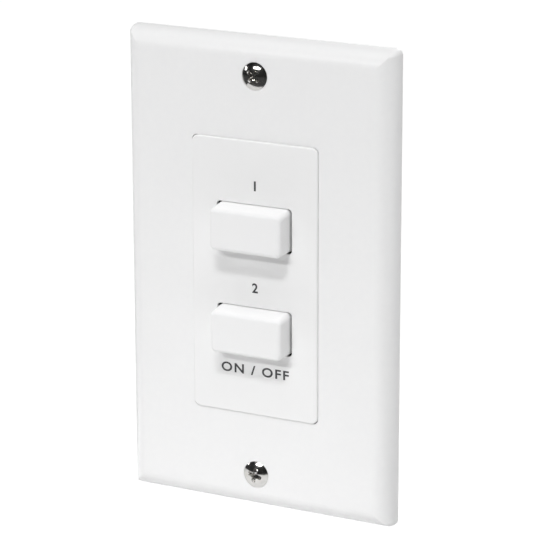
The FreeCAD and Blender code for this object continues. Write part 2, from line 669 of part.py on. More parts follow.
def latch_clip():
    """A sheet-steel clip over the pocket; its tongue keeps the pin in the cam track."""
    outer_x = HOUSING_RIGHT_X + CLIP_THICKNESS
    front = HOUSING_FRONT_Y + HOUSING_EDGE_RADIUS
    half_z = HOUSING_HALF_HEIGHT + CLIP_THICKNESS
    root_y = PIN_TIP_Y + PIN_RADIUS
    plate = box(HOUSING_RIGHT_X, outer_x, front, BASE_FRONT_Y, -half_z, half_z)
    tip_x = PIN_X + PIN_RADIUS + CLIP_TONGUE_GAP
    tip_y = PIVOT_Y + 2 * PIN_RADIUS
    window_half = CLIP_TONGUE_HALF + CLIP_THICKNESS
    window = box(HOUSING_RIGHT_X, outer_x, tip_y, root_y, -window_half, window_half)
    tongue = prism_z(
        [
            (HOUSING_RIGHT_X, root_y),
            (outer_x, root_y),
            (tip_x + CLIP_THICKNESS, tip_y + CLIP_TONGUE_HALF),
            (tip_x + CLIP_THICKNESS, tip_y),
            (tip_x, tip_y),
            (tip_x, tip_y + CLIP_TONGUE_HALF),
        ],
        -CLIP_TONGUE_HALF,
        CLIP_TONGUE_HALF,
    )
    legs = [
        box(HOUSING_RIGHT_X - CLIP_LEG, outer_x, front, BASE_FRONT_Y, z0, z0 + CLIP_THICKNESS)
        for z0 in (-half_z, HOUSING_HALF_HEIGHT)
    ]
    return fuse(plate.cut(window), tongue, *legs)


def return_spring():
    mean_length = SPRING_LENGTH - SPRING_WIRE - 2 * SPRING_END_GAP
    helix = Part.makeHelix(mean_length / SPRING_TURNS, mean_length, SPRING_RADIUS)
    section = Part.Wire(
        Part.makeCircle(SPRING_WIRE / 2, Vector(SPRING_RADIUS, 0, 0), Vector(0, 1, 0))
    )
    spring = Part.Wire(helix.Edges).makePipeShell([section], True, True)
    spring.rotate(Vector(), Vector(1, 0, 0), -90)
    spring.translate(Vector(0, SPRING_FRONT_Y + SPRING_END_GAP + SPRING_WIRE / 2, 0))
    return spring


def switch_base():
    """The floor of the switch, slotted for the four contact tails."""
    base = box(
        HOUSING_LEFT_X,
        HOUSING_RIGHT_X,
        BASE_FRONT_Y,
        BOARD_FRONT_Y,
        -HOUSING_HALF_HEIGHT,
        HOUSING_HALF_HEIGHT,
    )
    half_x = TAIL_WIDTH / 2 + TAIL_CLEARANCE
    half_z = BLADE_THICKNESS / 2 + TAIL_CLEARANCE
    slots = [
        centred_box(half_x, BASE_FRONT_Y, BOARD_FRONT_Y, half_z, x, z) for x, z in tail_places()
    ]
    return base.cut(slots)


def blade_centre():
    return (BLADE_GAP + BLADE_WIDTH) / 2


def tail_places():
    tail_z = BLADE_Z + BLADE_THICKNESS / 2
    return [(sx * blade_centre(), sz * tail_z) for sx, sz in signs()]


def leaf_contact_y():
    """The depth at which the moving contacts bear on the blades, at rest."""
    return SLIDER_FRONT_Y + LEAF_INSET + LEAF_ROOT + LEAF_FINGER


def fixed_contacts():
    """Per pole a long common blade, always touched, and a short one reached near full stroke."""
    fronts = {-1: leaf_contact_y() - BLADE_FRONT_INSET, 1: leaf_contact_y() + MAKE_TRAVEL}
    blades = []
    for sx, sz in signs():
        z = sz * (BLADE_Z + BLADE_THICKNESS / 2)
        x, half_z = sx * blade_centre(), BLADE_THICKNESS / 2
        blade = centred_box(BLADE_WIDTH / 2, fronts[sx], BASE_FRONT_Y, half_z, x, z)
        tail_end = BOARD_REAR_Y + TAIL_PROUD
        tail = centred_box(TAIL_WIDTH / 2, BASE_FRONT_Y, tail_end, half_z, x, z)
        blades.append(fuse(blade, tail))
    return blades


def moving_contacts():
    """A sprung bridge on each side of the slider, with one finger for each blade of its pole."""
    seat = SLIDER_HEIGHT / 2
    crest = BLADE_Z - CONTACT_GAP
    root_y = SLIDER_FRONT_Y + LEAF_INSET
    finger_y = root_y + LEAF_ROOT
    profile = [
        (root_y, seat),
        (finger_y, seat),
        (leaf_contact_y(), crest - LEAF_THICKNESS),
        (leaf_contact_y() + LEAF_TIP, seat + LEAF_THICKNESS),
        (leaf_contact_y() + LEAF_TIP, seat + 2 * LEAF_THICKNESS),
        (leaf_contact_y(), crest),
        (finger_y, seat + LEAF_THICKNESS),
        (root_y, seat + LEAF_THICKNESS),
    ]
    half_x = BLADE_GAP / 2 + BLADE_WIDTH
    slot_half = BLADE_GAP / 2
    bridge = prism_x(profile, -half_x, half_x)
    split = centred_box(slot_half, finger_y, leaf_contact_y() + LEAF_TIP, CAVITY_HALF_HEIGHT)
    bridge = bridge.cut(split)
    other = bridge.copy()
    other.rotate(Vector(), Vector(0, 1, 0), 180)
    return [bridge, other]


# ---- circuit board and small screws ----
def circuit_board():
    board = rounded_block(
        BOARD_HALF_WIDTH, BOARD_HALF_HEIGHT, BOARD_CORNER_RADIUS, BOARD_FRONT_Y, BOARD_REAR_Y
    )
    hole = SMALL_SCREW_RADIUS + BOARD_HOLE_CLEARANCE
    cuts = [
        rod_y(hole, BOARD_FRONT_Y, BOARD_REAR_Y, sx * POST_X, sz * POST_Z) for sx, sz in signs()
    ]
    tail_hole = math.hypot(TAIL_WIDTH, BLADE_THICKNESS) / 2 + TAIL_CLEARANCE
    for row_z in BUTTON_ROWS.values():
        for x, z in tail_places():
            cuts.append(rod_y(tail_hole, BOARD_FRONT_Y, BOARD_REAR_Y, x, row_z + z))
    pin_hole = math.hypot(PIN_TAIL_WIDTH, STRIP_THICKNESS) / 2 + TAIL_CLEARANCE
    for x, z, _ in TERMINAL_BLOCKS.values():
        for way_z in way_places():
            cuts.append(rod_y(pin_hole, BOARD_FRONT_Y, BOARD_REAR_Y, x, z + way_z))
    return board.cut(cuts)


def small_screw(under_head_y, length):
    """A pan-head cross-recess screw driven from behind, along the y axis through the origin."""
    top = under_head_y + SMALL_HEAD_HEIGHT
    head = rod_y(SMALL_HEAD_RADIUS, under_head_y, top)
    head = head.makeFillet(SMALL_HEAD_EDGE, edges_at_depth(head, top))
    shank = rod_y(SMALL_SCREW_RADIUS, under_head_y - length, under_head_y)
    recess = cross_recess(
        SMALL_CROSS_WIDTH, SMALL_CROSS_SPAN, SMALL_CROSS_DEPTH, 0.0, SMALL_CROSS_TURN
    )
    recess.rotate(Vector(), Vector(1, 0, 0), 180)
    recess.translate(Vector(0, top, 0))
    return fuse(head, shank).cut(recess)


def board_screws():
    screw = small_screw(BOARD_REAR_Y, SMALL_SCREW_LENGTH)
    return [moved(screw, sx * POST_X, sz * POST_Z) for sx, sz in signs()]


def strap_screws():
    screw = small_screw(0.0, STRAP_THICKNESS + STRAP_SCREW_GRIP)
    return [moved(screw, sx * STRAP_SCREW_X, sz * STRAP_SCREW_Z) for sx, sz in signs()]


# ---- screw terminal blocks, built with their wire mouths facing +X ----
def way_places():
    first = -(TERMINAL_WAYS - 1) / 2
    return [(first + index) * TERMINAL_PITCH for index in range(TERMINAL_WAYS)]


def strip_y():
    return BOARD_REAR_Y + TERMINAL_FLOOR


def cage_y():
    return strip_y() + STRIP_THICKNESS


def cage_reach():
    """The cage's two ends along x, inside the chamber."""
    half = TERMINAL_DEPTH / 2
    return -half + TERMINAL_BACK_WALL, half - TERMINAL_MOUTH_WALL


def well_x():
    low, high = cage_reach()
    return (low + high) / 2


def terminal_block():
    half_x, half_z = TERMINAL_DEPTH / 2, TERMINAL_LENGTH / 2
    top = BOARD_REAR_Y + TERMINAL_HEIGHT
    body = prism_z(
        [
            (-half_x, BOARD_REAR_Y),
            (half_x, BOARD_REAR_Y),
            (half_x, top - TERMINAL_SHOULDER),
            (half_x - TERMINAL_NOSE, top),
            (-half_x + TERMINAL_BACK_STEP, top),
            (-half_x, top - TERMINAL_BACK_STEP),
        ],
        -half_z,
        half_z,
    )
    low, high = cage_reach()
    chamber_half_x = (high - low) / 2 + CAGE_CLEARANCE
    chamber_top = cage_y() + CAGE_HEIGHT + CAGE_CLEARANCE
    mouth_y = cage_y() + CAGE_WALL
    mouth_top = mouth_y + MOUTH_HEIGHT
    tail_x = STRIP_THICKNESS / 2 + TAIL_CLEARANCE
    tail_z = PIN_TAIL_WIDTH / 2 + TAIL_CLEARANCE
    cuts = []
    for z in way_places():
        cuts += [
            centred_box(chamber_half_x, strip_y(), chamber_top, CHAMBER_WIDTH / 2, well_x(), z),
            centred_box(half_x / 2, mouth_y, mouth_top, MOUTH_WIDTH / 2, half_x / 2, z),
            rod_y(WELL_RADIUS, chamber_top - CAGE_CLEARANCE, top, well_x(), z),
            centred_box(tail_x, BOARD_REAR_Y, strip_y(), tail_z, z=z),
        ]
    return [body.cut(cuts)]


def wire_clamps():
    low, high = cage_reach()
    outer_half = CHAMBER_WIDTH / 2 - CAGE_CLEARANCE
    inner_half = outer_half - CAGE_WALL
    top = cage_y() + CAGE_HEIGHT
    cage = box(low, high, cage_y(), top, -outer_half, outer_half)
    throat = box(low, high, cage_y() + CAGE_WALL, top - CAGE_TOP_WALL, -inner_half, inner_half)
    tapped = rod_y(CLAMP_SCREW_RADIUS + THREAD_CLEARANCE, top - CAGE_TOP_WALL, top, well_x())
    clamp = cage.cut([throat, tapped])
    return [moved(clamp, z=z) for z in way_places()]


def clamp_screws():
    head_top = BOARD_REAR_Y + TERMINAL_HEIGHT - CLAMP_HEAD_DEPTH
    head_bottom = head_top - CLAMP_HEAD_HEIGHT
    tip = cage_y() + CAGE_HEIGHT - CAGE_TOP_WALL - CLAMP_SCREW_REACH
    head = rod_y(CLAMP_HEAD_RADIUS, head_bottom, head_top, well_x())
    shank = rod_y(CLAMP_SCREW_RADIUS, tip, head_bottom, well_x())
    slot = centred_box(
        CLAMP_HEAD_RADIUS, head_top - CLAMP_SLOT_DEPTH, head_top, CLAMP_SLOT_WIDTH / 2, x=well_x()
    )
    screw = fuse(head, shank).cut(slot)
    return [moved(screw, z=z) for z in way_places()]


def terminal_pins():
    """Per way a flat strip under the clamp, with a tail that is soldered through the board."""
    low, high = cage_reach()
    strip = box(low, high, strip_y(), cage_y(), -STRIP_WIDTH / 2, STRIP_WIDTH / 2)
    tail_end = BOARD_FRONT_Y - TAIL_PROUD
    tail = centred_box(STRIP_THICKNESS / 2, tail_end, strip_y(), PIN_TAIL_WIDTH / 2)
    pin = fuse(strip, tail)
    return [moved(pin, z=z) for z in way_places()]


# ---- the pieces and their files ----
def placed(solids, x=0.0, z=0.0, turn=0.0):
    """Copies of the solids, turned about the y axis and then moved."""
    copies = []
    for solid in solids:
        copy = solid.copy()
        copy.rotate(Vector(), Vector(0, 1, 0), turn)
        copy.translate(Vector(x, 0, z))
        copies.append(copy)
    return copies


def all_pieces():
    """Every node's name with the list of solids in it."""
    pieces = {
        "wall_plate": [wall_plate()],
        "plate_screws": plate_screws(),
        "mounting_strap": [mounting_strap()],
        "insert_bezel": [insert_bezel()],
        "strap_screws": strap_screws(),
        "circuit_board": [circuit_board()],
        "board_screws": board_screws(),
    }
    per_button = {
        "button_cap": [button_cap()],
        "button_guide": [button_guide()],
        "switch_housing": [switch_housing()],
        "switch_slider": [switch_slider()],
        "return_spring": [return_spring()],
        "latch_pin": [latch_pin()],
        "latch_clip": [latch_clip()],
        "switch_base": [switch_base()],
        "moving_contacts": moving_contacts(),
        "fixed_contacts": fixed_contacts(),
    }
    for row, row_z in BUTTON_ROWS.items():
        for name, solids in per_button.items():
            pieces[f"{row}_{name}"] = placed(solids, z=row_z)
    per_terminal = {
        "terminal_block": terminal_block(),
        "wire_clamps": wire_clamps(),
        "clamp_screws": clamp_screws(),
        "terminal_pins": terminal_pins(),
    }
    for row, (x, z, turn) in TERMINAL_BLOCKS.items():
        for name, solids in per_terminal.items():
            pieces[f"{row}_{name}"] = placed(solids, x, z, turn)
    return pieces


def export(name, solids):
    shape = solids[0] if len(solids) == 1 else Part.makeCompound(solids)
    shape.exportStep(os.path.join("parts", f"{name}.step"))


os.makedirs("parts", exist_ok=True)
for piece_name, piece_solids in all_pieces().items():
    export(piece_name, piece_solids)
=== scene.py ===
"""Two-button speaker selector switch on a wall plate: finishes, fine detail, light and camera."""

import json
import math

import bmesh
import bpy
from mathutils import Matrix, Vector


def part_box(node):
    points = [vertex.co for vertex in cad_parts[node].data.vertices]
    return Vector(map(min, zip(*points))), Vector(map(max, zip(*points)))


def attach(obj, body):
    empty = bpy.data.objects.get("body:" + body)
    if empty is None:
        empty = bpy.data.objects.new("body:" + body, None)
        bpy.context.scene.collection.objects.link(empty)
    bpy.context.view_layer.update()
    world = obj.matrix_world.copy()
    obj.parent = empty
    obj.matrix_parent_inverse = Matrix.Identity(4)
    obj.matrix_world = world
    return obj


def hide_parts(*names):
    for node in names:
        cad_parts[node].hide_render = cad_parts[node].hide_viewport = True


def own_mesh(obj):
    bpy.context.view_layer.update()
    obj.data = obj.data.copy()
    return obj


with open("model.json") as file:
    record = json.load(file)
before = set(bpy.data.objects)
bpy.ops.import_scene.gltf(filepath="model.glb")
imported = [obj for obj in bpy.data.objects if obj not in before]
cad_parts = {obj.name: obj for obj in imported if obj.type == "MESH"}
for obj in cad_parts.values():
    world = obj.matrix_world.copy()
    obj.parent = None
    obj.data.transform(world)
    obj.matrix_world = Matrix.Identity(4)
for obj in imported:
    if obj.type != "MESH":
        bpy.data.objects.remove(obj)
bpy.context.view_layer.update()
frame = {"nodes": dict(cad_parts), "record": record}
bpy.context.scene.view_settings.view_transform = "Standard"
NODES = frame["nodes"]
RECORD = frame["record"]

MM = 0.001  # lengths are in millimetres where no comment says metres; add_piece() converts a mesh
ROWS = ("upper", "lower")
BLOCKS = ("input", "first_pair", "second_pair")


def box_mm(node):
    """The lowest and highest corners of a CAD node, in millimetres."""
    return [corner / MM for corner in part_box(node)]


def middle(node):
    low, high = box_mm(node)
    return (low + high) / 2


# ---- camera ----
CAMERA_AZIMUTH = 27.674
CAMERA_ELEVATION = 16.055
CAMERA_ROLL = -0.114
CAMERA_TARGET = (2.343, 0.0, 0.021)
CAMERA_DISTANCE = 656.92
PICTURE_WIDTH = 550.0  # pixels
FOCAL_LENGTH = 2796.1  # pixels
SENSOR_WIDTH = 36.0
CLIP_START, CLIP_END = 0.01, 50.0  # metres


def direction(azimuth, elevation):
    """The unit vector towards an azimuth (0 in front, 90 to the right) and elevation, in degrees."""
    turn, rise = math.radians(azimuth), math.radians(elevation)
    return Vector(
        (math.sin(turn) * math.cos(rise), -math.cos(turn) * math.cos(rise), math.sin(rise))
    )


def add_camera():
    back = direction(CAMERA_AZIMUTH, CAMERA_ELEVATION)
    level = direction(CAMERA_AZIMUTH + 90.0, 0.0)
    upright = back.cross(level)
    roll = math.radians(CAMERA_ROLL)
    right = math.cos(roll) * level + math.sin(roll) * upright
    data = bpy.data.cameras.new("camera")
    data.sensor_fit = "HORIZONTAL"
    data.sensor_width = SENSOR_WIDTH
    data.lens = FOCAL_LENGTH / PICTURE_WIDTH * SENSOR_WIDTH
    data.clip_start = CLIP_START
    data.clip_end = CLIP_END
    camera = bpy.data.objects.new("camera", data)
    turn = Matrix((right, back.cross(right), back)).transposed().to_4x4()
    place = (Vector(CAMERA_TARGET) + back * CAMERA_DISTANCE) * MM
    camera.matrix_world = Matrix.Translation(place) @ turn
    bpy.context.scene.collection.objects.link(camera)
    bpy.context.scene.camera = camera


# ---- materials ----
def between(tree, fac, low, high, start=0.0, end=1.0):
    """low to high as fac goes from start to end."""
    level = tree.nodes.new("ShaderNodeMapRange")
    tree.links.new(fac, level.inputs["Value"])
    level.inputs["From Min"].default_value = start
    level.inputs["From Max"].default_value = end
    level.inputs["To Min"].default_value = low
    level.inputs["To Max"].default_value = high
    return level.outputs["Result"]


class Shader:
    """A material whose Principled shader is fed by a few procedural nodes."""

    def __init__(self, name, color, roughness, metallic=0.0):
        self.material = bpy.data.materials.new(name)
        self.material.use_nodes = True
        self.tree = self.material.node_tree
        self.main = self.tree.nodes["Principled BSDF"]
        self.color = (*color, 1.0)
        self.main.inputs["Base Color"].default_value = self.color
        self.main.inputs["Roughness"].default_value = roughness
        self.main.inputs["Metallic"].default_value = metallic
        self.place = self.node("ShaderNodeTexCoord").outputs["Object"]

    def node(self, kind, **values):
        made = self.tree.nodes.new(kind)
        for key, value in values.items():
            setattr(made, key, value)
        return made

    def link(self, source, target):
        self.tree.links.new(source, target)

    def noise(self, scale, detail=2.0, roughness=0.5, stretch=None):
        """A noise field; scale is in cells per metre."""
        field = self.node("ShaderNodeTexNoise")
        field.inputs["Scale"].default_value = scale
        field.inputs["Detail"].default_value = detail
        field.inputs["Roughness"].default_value = roughness
        self.link(self.stretched(stretch), field.inputs["Vector"])
        return field.outputs["Fac"]

    def stretched(self, stretch):
        if stretch is None:
            return self.place
        mapping = self.node("ShaderNodeMapping")
        mapping.inputs["Scale"].default_value = stretch
        self.link(self.place, mapping.inputs["Vector"])
        return mapping.outputs["Vector"]

    def facing(self, axis):
        """1 where the surface looks along an axis, either way, and 0 on the other sides."""
        normal = self.node("ShaderNodeNewGeometry").outputs["Normal"]
        split = self.node("ShaderNodeSeparateXYZ")
        self.link(normal, split.inputs["Vector"])
        size = self.node("ShaderNodeMath", operation="ABSOLUTE")
        self.link(split.outputs[axis], size.inputs[0])
        return size.outputs["Value"]

    def tint(self, fac, other, start=0.3, end=0.7):
        """The colour so far drifts towards another colour where fac is high."""
        mix = self.node("ShaderNodeMix", data_type="RGBA")
        self.link(between(self.tree, fac, 0.0, 1.0, start, end), mix.inputs["Factor"])
        color_a, color_b = (socket for socket in mix.inputs if socket.type == "RGBA")
        base = self.main.inputs["Base Color"]
        if base.is_linked:
            self.link(base.links[0].from_socket, color_a)
        else:
            color_a.default_value = self.color
        color_b.default_value = (*other, 1.0)
        result = next(socket for socket in mix.outputs if socket.type == "RGBA")
        self.link(result, base)
        return self

    def gloss(self, fac, low, high):
        """Roughness from low to high over the range that a noise field mostly covers."""
        self.link(between(self.tree, fac, low, high, 0.3, 0.7), self.main.inputs["Roughness"])
        return self

    def bump(self, fac, height):
        """Fine relief that follows fac; height in millimetres."""
        bump = self.node("ShaderNodeBump")
        bump.inputs["Distance"].default_value = height * MM
        bump.inputs["Strength"].default_value = 1.0
        self.link(fac, bump.inputs["Height"])
        self.link(bump.outputs["Normal"], self.main.inputs["Normal"])
        return self


def plate_plastic():
    shader = Shader("white_plate_plastic", (0.86, 0.86, 0.86), 0.3)
    shader.tint(shader.noise(700.0, 2.0), (0.85, 0.85, 0.853))
    shader.gloss(shader.noise(140.0, 4.0), 0.29, 0.35)
    return shader.bump(shader.noise(900.0, 2.0), 0.004).material


def insert_plastic():
    shader = Shader("white_insert_plastic", (0.86, 0.86, 0.86), 0.42)
    shader.tint(shader.noise(30.0, 3.0), (0.845, 0.845, 0.845))
    shader.gloss(shader.noise(400.0, 3.0), 0.38, 0.48)
    return shader.bump(shader.noise(4200.0, 3.0), 0.005).material


def button_plastic():
    shader = Shader("white_button_plastic", (0.86, 0.86, 0.86), 0.3)
    shader.tint(shader.noise(60.0, 3.0), (0.845, 0.845, 0.85))
    shader.gloss(shader.noise(260.0, 4.0), 0.29, 0.35)
    return shader.bump(shader.noise(1300.0, 2.0), 0.003).material


def nickel():
    shader = Shader("nickel_plate", (0.78, 0.77, 0.75), 0.12, 1.0)
    shader.tint(shader.noise(900.0, 4.0), (0.68, 0.67, 0.65))
    shader.gloss(shader.noise(2500.0, 4.0), 0.08, 0.18)
    return shader.bump(shader.noise(1500.0, 3.0), 0.006).material


def zinc_sheet():
    shader = Shader("zinc_steel", (0.6, 0.61, 0.63), 0.36, 1.0)
    shader.tint(shader.noise(170.0, 6.0, 0.65), (0.47, 0.48, 0.5))
    shader.gloss(shader.noise(700.0, 4.0, stretch=(1.0, 1.0, 0.12)), 0.28, 0.46)
    return shader.bump(shader.noise(2200.0, 2.0, stretch=(1.0, 1.0, 0.1)), 0.006).material


def zinc_screw():
    shader = Shader("zinc_screw", (0.66, 0.66, 0.67), 0.27, 1.0)
    shader.tint(shader.noise(800.0, 4.0), (0.52, 0.52, 0.53))
    shader.gloss(shader.noise(3000.0, 3.0), 0.2, 0.36)
    return shader.bump(shader.noise(3500.0, 2.0), 0.006).material


def board_laminate():
    """Green solder mask on the two faces, and bare glass laminate on the cut edges."""
    shader = Shader("board_laminate", (0.3, 0.27, 0.13), 0.3)
    shader.tint(shader.noise(900.0, 4.0, stretch=(1.0, 6.0, 1.0)), (0.2, 0.18, 0.09))
    shader.tint(shader.facing("Y"), (0.014, 0.125, 0.042), 0.5, 0.6)
    shader.gloss(shader.noise(900.0, 3.0), 0.22, 0.34)
    return shader.bump(shader.noise(2600.0, 2.0), 0.004).material


def covered_copper():
    shader = Shader("covered_copper", (0.03, 0.2, 0.06), 0.26)
    shader.tint(shader.noise(900.0, 3.0), (0.024, 0.17, 0.052))
    shader.gloss(shader.noise(1300.0, 3.0), 0.22, 0.32)
    return shader.bump(shader.noise(2600.0, 2.0), 0.003).material


def solder():
    shader = Shader("solder", (0.74, 0.74, 0.73), 0.2, 1.0)
    shader.tint(shader.noise(1100.0, 4.0), (0.6, 0.6, 0.59))
    shader.gloss(shader.noise(1800.0, 3.0), 0.14, 0.34)
    return shader.bump(shader.noise(1600.0, 3.0), 0.02).material


def black_nylon():
    shader = Shader("black_switch_plastic", (0.016, 0.016, 0.017), 0.42)
    shader.tint(shader.noise(1600.0, 4.0, 0.6), (0.03, 0.03, 0.031))
    shader.gloss(shader.noise(2400.0, 3.0), 0.36, 0.52)
    return shader.bump(shader.noise(3800.0, 3.0), 0.008).material


def acetal():
    shader = Shader("pale_slider_plastic", (0.76, 0.75, 0.7), 0.34)
    shader.tint(shader.noise(300.0, 3.0), (0.71, 0.7, 0.64))
    shader.gloss(shader.noise(1500.0, 3.0), 0.3, 0.4)
    return shader.bump(shader.noise(2500.0, 2.0), 0.004).material


def spring_wire():
    shader = Shader("spring_steel", (0.5, 0.5, 0.51), 0.24, 1.0)
    shader.tint(shader.noise(1200.0, 3.0), (0.4, 0.4, 0.41))
    shader.gloss(shader.noise(4000.0, 3.0), 0.18, 0.32)
    return shader.bump(shader.noise(5000.0, 2.0), 0.004).material


def clip_steel():
    shader = Shader("clip_steel", (0.62, 0.62, 0.63), 0.28, 1.0)
    shader.tint(shader.noise(500.0, 4.0), (0.52, 0.52, 0.53))
    shader.gloss(shader.noise(1500.0, 3.0, stretch=(1.0, 0.1, 1.0)), 0.2, 0.38)
    return shader.bump(shader.noise(2500.0, 2.0, stretch=(1.0, 0.1, 1.0)), 0.004).material


def bronze():
    shader = Shader("contact_bronze", (0.72, 0.42, 0.22), 0.3, 1.0)
    shader.tint(shader.noise(900.0, 4.0), (0.6, 0.36, 0.2))
    shader.gloss(shader.noise(2500.0, 3.0), 0.24, 0.38)
    return shader.bump(shader.noise(3500.0, 2.0), 0.004).material


def tinned_brass():
    shader = Shader("tinned_brass", (0.72, 0.71, 0.66), 0.3, 1.0)
    shader.tint(shader.noise(700.0, 4.0), (0.6, 0.59, 0.54))
    shader.gloss(shader.noise(2200.0, 4.0), 0.22, 0.42)
    return shader.bump(shader.noise(3000.0, 3.0), 0.006).material


def green_nylon():
    shader = Shader("green_terminal_plastic", (0.02, 0.2, 0.07), 0.36)
    shader.tint(shader.noise(500.0, 4.0), (0.017, 0.165, 0.058))
    shader.gloss(shader.noise(1600.0, 3.0), 0.3, 0.44)
    return shader.bump(shader.noise(3200.0, 3.0), 0.006).material


def label_ink():
    shader = Shader("label_ink", (0.045, 0.045, 0.048), 0.5)
    shader.tint(shader.noise(3000.0, 3.0), (0.07, 0.07, 0.073))
    return shader.bump(shader.noise(6000.0, 2.0), 0.002).material


def board_ink():
    shader = Shader("board_ink", (0.78, 0.78, 0.74), 0.55)
    shader.tint(shader.noise(2400.0, 3.0), (0.66, 0.67, 0.6))
    return shader.bump(shader.noise(6000.0, 2.0), 0.002).material


MATERIALS = {
    "white_plate_plastic": plate_plastic(),
    "white_insert_plastic": insert_plastic(),
    "white_button_plastic": button_plastic(),
    "nickel_plate": nickel(),
    "zinc_steel": zinc_sheet(),
    "zinc_screw": zinc_screw(),
    "board_laminate": board_laminate(),
    "covered_copper": covered_copper(),
    "solder": solder(),
    "black_switch_plastic": black_nylon(),
    "pale_slider_plastic": acetal(),
    "spring_steel": spring_wire(),
    "clip_steel": clip_steel(),
    "contact_bronze": bronze(),
    "tinned_brass": tinned_brass(),
    "green_terminal_plastic": green_nylon(),
    "label_ink": label_ink(),
    "board_ink": board_ink(),
}


def paint(piece, finish):
    piece.data.materials.clear()
    piece.data.materials.append(MATERIALS[finish])


def paint_nodes():
    for entry in RECORD["subparts"]:
        paint(NODES[entry["node"]], entry["material_slot"])


WELD_DISTANCE = 0.001
SOFT_EDGE_ANGLE = 35.0  # degrees; flatter edges stay as they are
SOFT_EDGE_SEGMENTS = 2


def soften(node, width):
    """Rounds the sharp edges of a CAD node, as moulding, stamping and plating leave them."""
    weld = NODES[node].modifiers.new("weld", "WELD")
    weld.merge_threshold = WELD_DISTANCE * MM
    bevel = NODES[node].modifiers.new("soft_edges", "BEVEL")
    bevel.width = width * MM
    bevel.segments = SOFT_EDGE_SEGMENTS
    bevel.limit_method = "ANGLE"
    bevel.angle_limit = math.radians(SOFT_EDGE_ANGLE)
    smooth = NODES[node].modifiers.new("weighted", "WEIGHTED_NORMAL")
    smooth.keep_sharp = True


SOFT_EDGES = {  # nodes with stamped, moulded or sawn edges, and how far each edge is rounded
    "mounting_strap": 0.12,
    "circuit_board": 0.06,
    **{f"{row}_switch_housing": 0.14 for row in ROWS},
    **{f"{row}_button_guide": 0.12 for row in ROWS},
    **{f"{row}_switch_base": 0.1 for row in ROWS},
    **{f"{row}_latch_clip": 0.05 for row in ROWS},
    **{f"{block}_terminal_block": 0.16 for block in BLOCKS},
    **{f"{block}_wire_clamps": 0.08 for block in BLOCKS},
    **{f"{block}_clamp_screws": 0.08 for block in BLOCKS},
    **{f"{block}_terminal_pins": 0.05 for block in BLOCKS},
}


# ---- mesh helpers ----
AROUND = 32  # points round every turned shape
SHARP_ANGLE = 32.0  # degrees; flatter edges are shaded smooth


def add_piece(name, mesh, finish, replaced=()):
    """Brings a mesh, made in millimetres, into the scene as a part of the fixed unit."""
    mesh.transform(Matrix.Scale(MM, 4))
    mesh.shade_smooth()
    mesh.set_sharp_from_angle(angle=math.radians(SHARP_ANGLE))
    piece = bpy.data.objects.new(name, mesh)
    bpy.context.scene.collection.objects.link(piece)
    paint(piece, finish)
    if replaced:
        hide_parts(*replaced)
    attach(piece, "wall_unit")
    return piece


def to_mesh(bm, name):
    mesh = bpy.data.meshes.new(name)
    bm.to_mesh(mesh)
    bm.free()
    return mesh


def add_skin(bm, rings):
    """Faces through rings of points, with a cap on the first and the last ring."""
    loops = [[bm.verts.new(point) for point in ring] for ring in rings]
    count = len(loops[0])
    faces = []
    for ring, other in zip(loops, loops[1:]):
        for index in range(count):
            step = (index + 1) % count
            faces.append(bm.faces.new((ring[index], ring[step], other[step], other[index])))
    faces.append(bm.faces.new(loops[0]))
    faces.append(bm.faces.new(loops[-1]))
    bmesh.ops.recalc_face_normals(bm, faces=faces)


def circle(radius, y, x=0.0, z=0.0, count=AROUND):
    """A ring of points round the y axis; radius is a number or a function of the turn, 0 to 1."""
    ring = []
    for index in range(count):
        turn = index / count
        reach = radius(turn) if callable(radius) else radius
        angle = math.tau * turn
        ring.append((x + reach * math.cos(angle), y, z + reach * math.sin(angle)))
    return ring


def carve(mesh, cutter):
    """The mesh with the cutter's volume taken away."""
    target, tool = (bpy.data.objects.new(item.name, item) for item in (mesh, cutter))
    for item in (target, tool):
        bpy.context.scene.collection.objects.link(item)
    cut = target.modifiers.new("cut", "BOOLEAN")
    cut.operation = "DIFFERENCE"
    cut.solver = "EXACT"
    cut.object = tool
    bpy.context.view_layer.update()
    result = bpy.data.meshes.new_from_object(
        target.evaluated_get(bpy.context.evaluated_depsgraph_get())
    )
    for item in (target, tool):
        bpy.data.objects.remove(item)
    return result


def copies(mesh, places):
    """One mesh with a copy of the given one at each matrix."""
    bm = bmesh.new()
    for place in places:
        copy = mesh.copy()
        copy.transform(place)
        bm.from_mesh(copy)
        bpy.data.meshes.remove(copy)
    return to_mesh(bm, mesh.name)


# ---- screws, made with the head towards -y and the tip towards +y ----
THREAD_STEPS = 8  # rings per turn of thread
THREAD_SLOPE = 1.5  # of the flanks, so that crests and roots come out flat
THREAD_ROOT = 0.25
THREAD_TIP = 0.7  # the tip's share of the thread's root
DOME_STEPS = 10  # rings of an oval head's dome
PAN_STEPS = 6  # rings of a pan head's rounded edge
PAN_CROWN = 0.12  # how much a pan head rises towards its middle
CUTTER_RISE = 0.6  # how far a recess cutter stands above the head
RECESS_EDGE = 0.05
RECESS_EDGE_ANGLE = 38.0  # degrees; sharper edges of a head are rounded
RECESS_EDGE_REACH = 0.9  # below the top of the head


def thread_radius(y, start, end, major, depth, pitch):
    """The radius at depth y, by turn, of a right-hand thread that fades in and out."""
    fade = max(0.0, min(1.0, (y - start) / pitch, (end - y) / pitch))

    def radius(turn):
        rise = 1.0 - abs(2.0 * ((y / pitch + turn) % 1.0) - 1.0)
        crest = min(1.0, max(0.0, THREAD_SLOPE * rise - THREAD_ROOT))
        return major - depth * (1.0 - crest * fade)

    return radius


